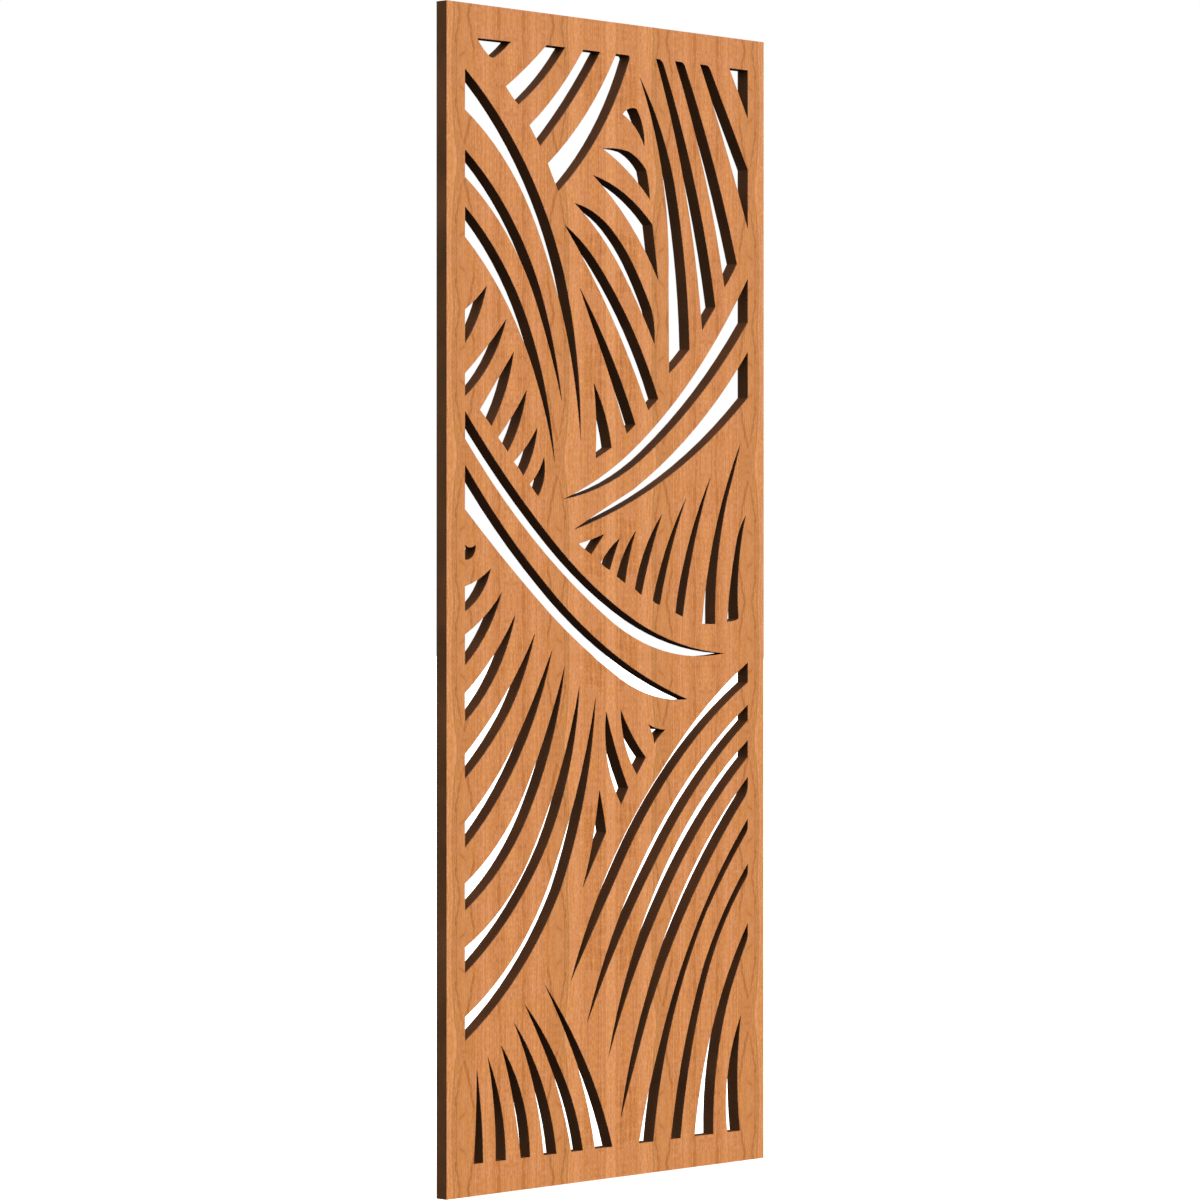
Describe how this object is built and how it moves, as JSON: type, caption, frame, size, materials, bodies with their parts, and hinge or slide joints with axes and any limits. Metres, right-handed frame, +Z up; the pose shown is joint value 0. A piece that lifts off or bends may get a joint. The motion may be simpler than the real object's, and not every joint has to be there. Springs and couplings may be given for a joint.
{
  "type": "fretwork wood panel",
  "caption": "Tall flat veneered plywood screen panel, cut right through by fans of curved tapering slits inside a plain border.",
  "frame": {"origin": "middle of the bottom edge, halfway through the thickness, where the panel sits in its base or rail", "axes": "+Z up the panel, +Y through it from the show face to the back, +X to the right seen from the show face"},
  "size_m": [0.6, 0.018, 1.5],
  "materials": {
    "face_veneer": "satin",
    "cross_ply": "matte, edges darkened by cutting",
    "long_ply": "matte, edges darkened by cutting"
  },
  "bodies": {
    "root": {"front_face_veneer": "face_veneer", "core_ply_01_cross": "cross_ply", "core_ply_02_long": "long_ply", "core_ply_03_cross": "cross_ply", "core_ply_04_long": "long_ply", "core_ply_05_cross": "cross_ply", "core_ply_06_long": "long_ply", "core_ply_07_cross": "cross_ply", "core_ply_08_long": "long_ply", "core_ply_09_cross": "cross_ply", "core_ply_10_long": "long_ply", "core_ply_11_cross": "cross_ply", "back_face_veneer": "face_veneer"}
  },
  "joints": []
}
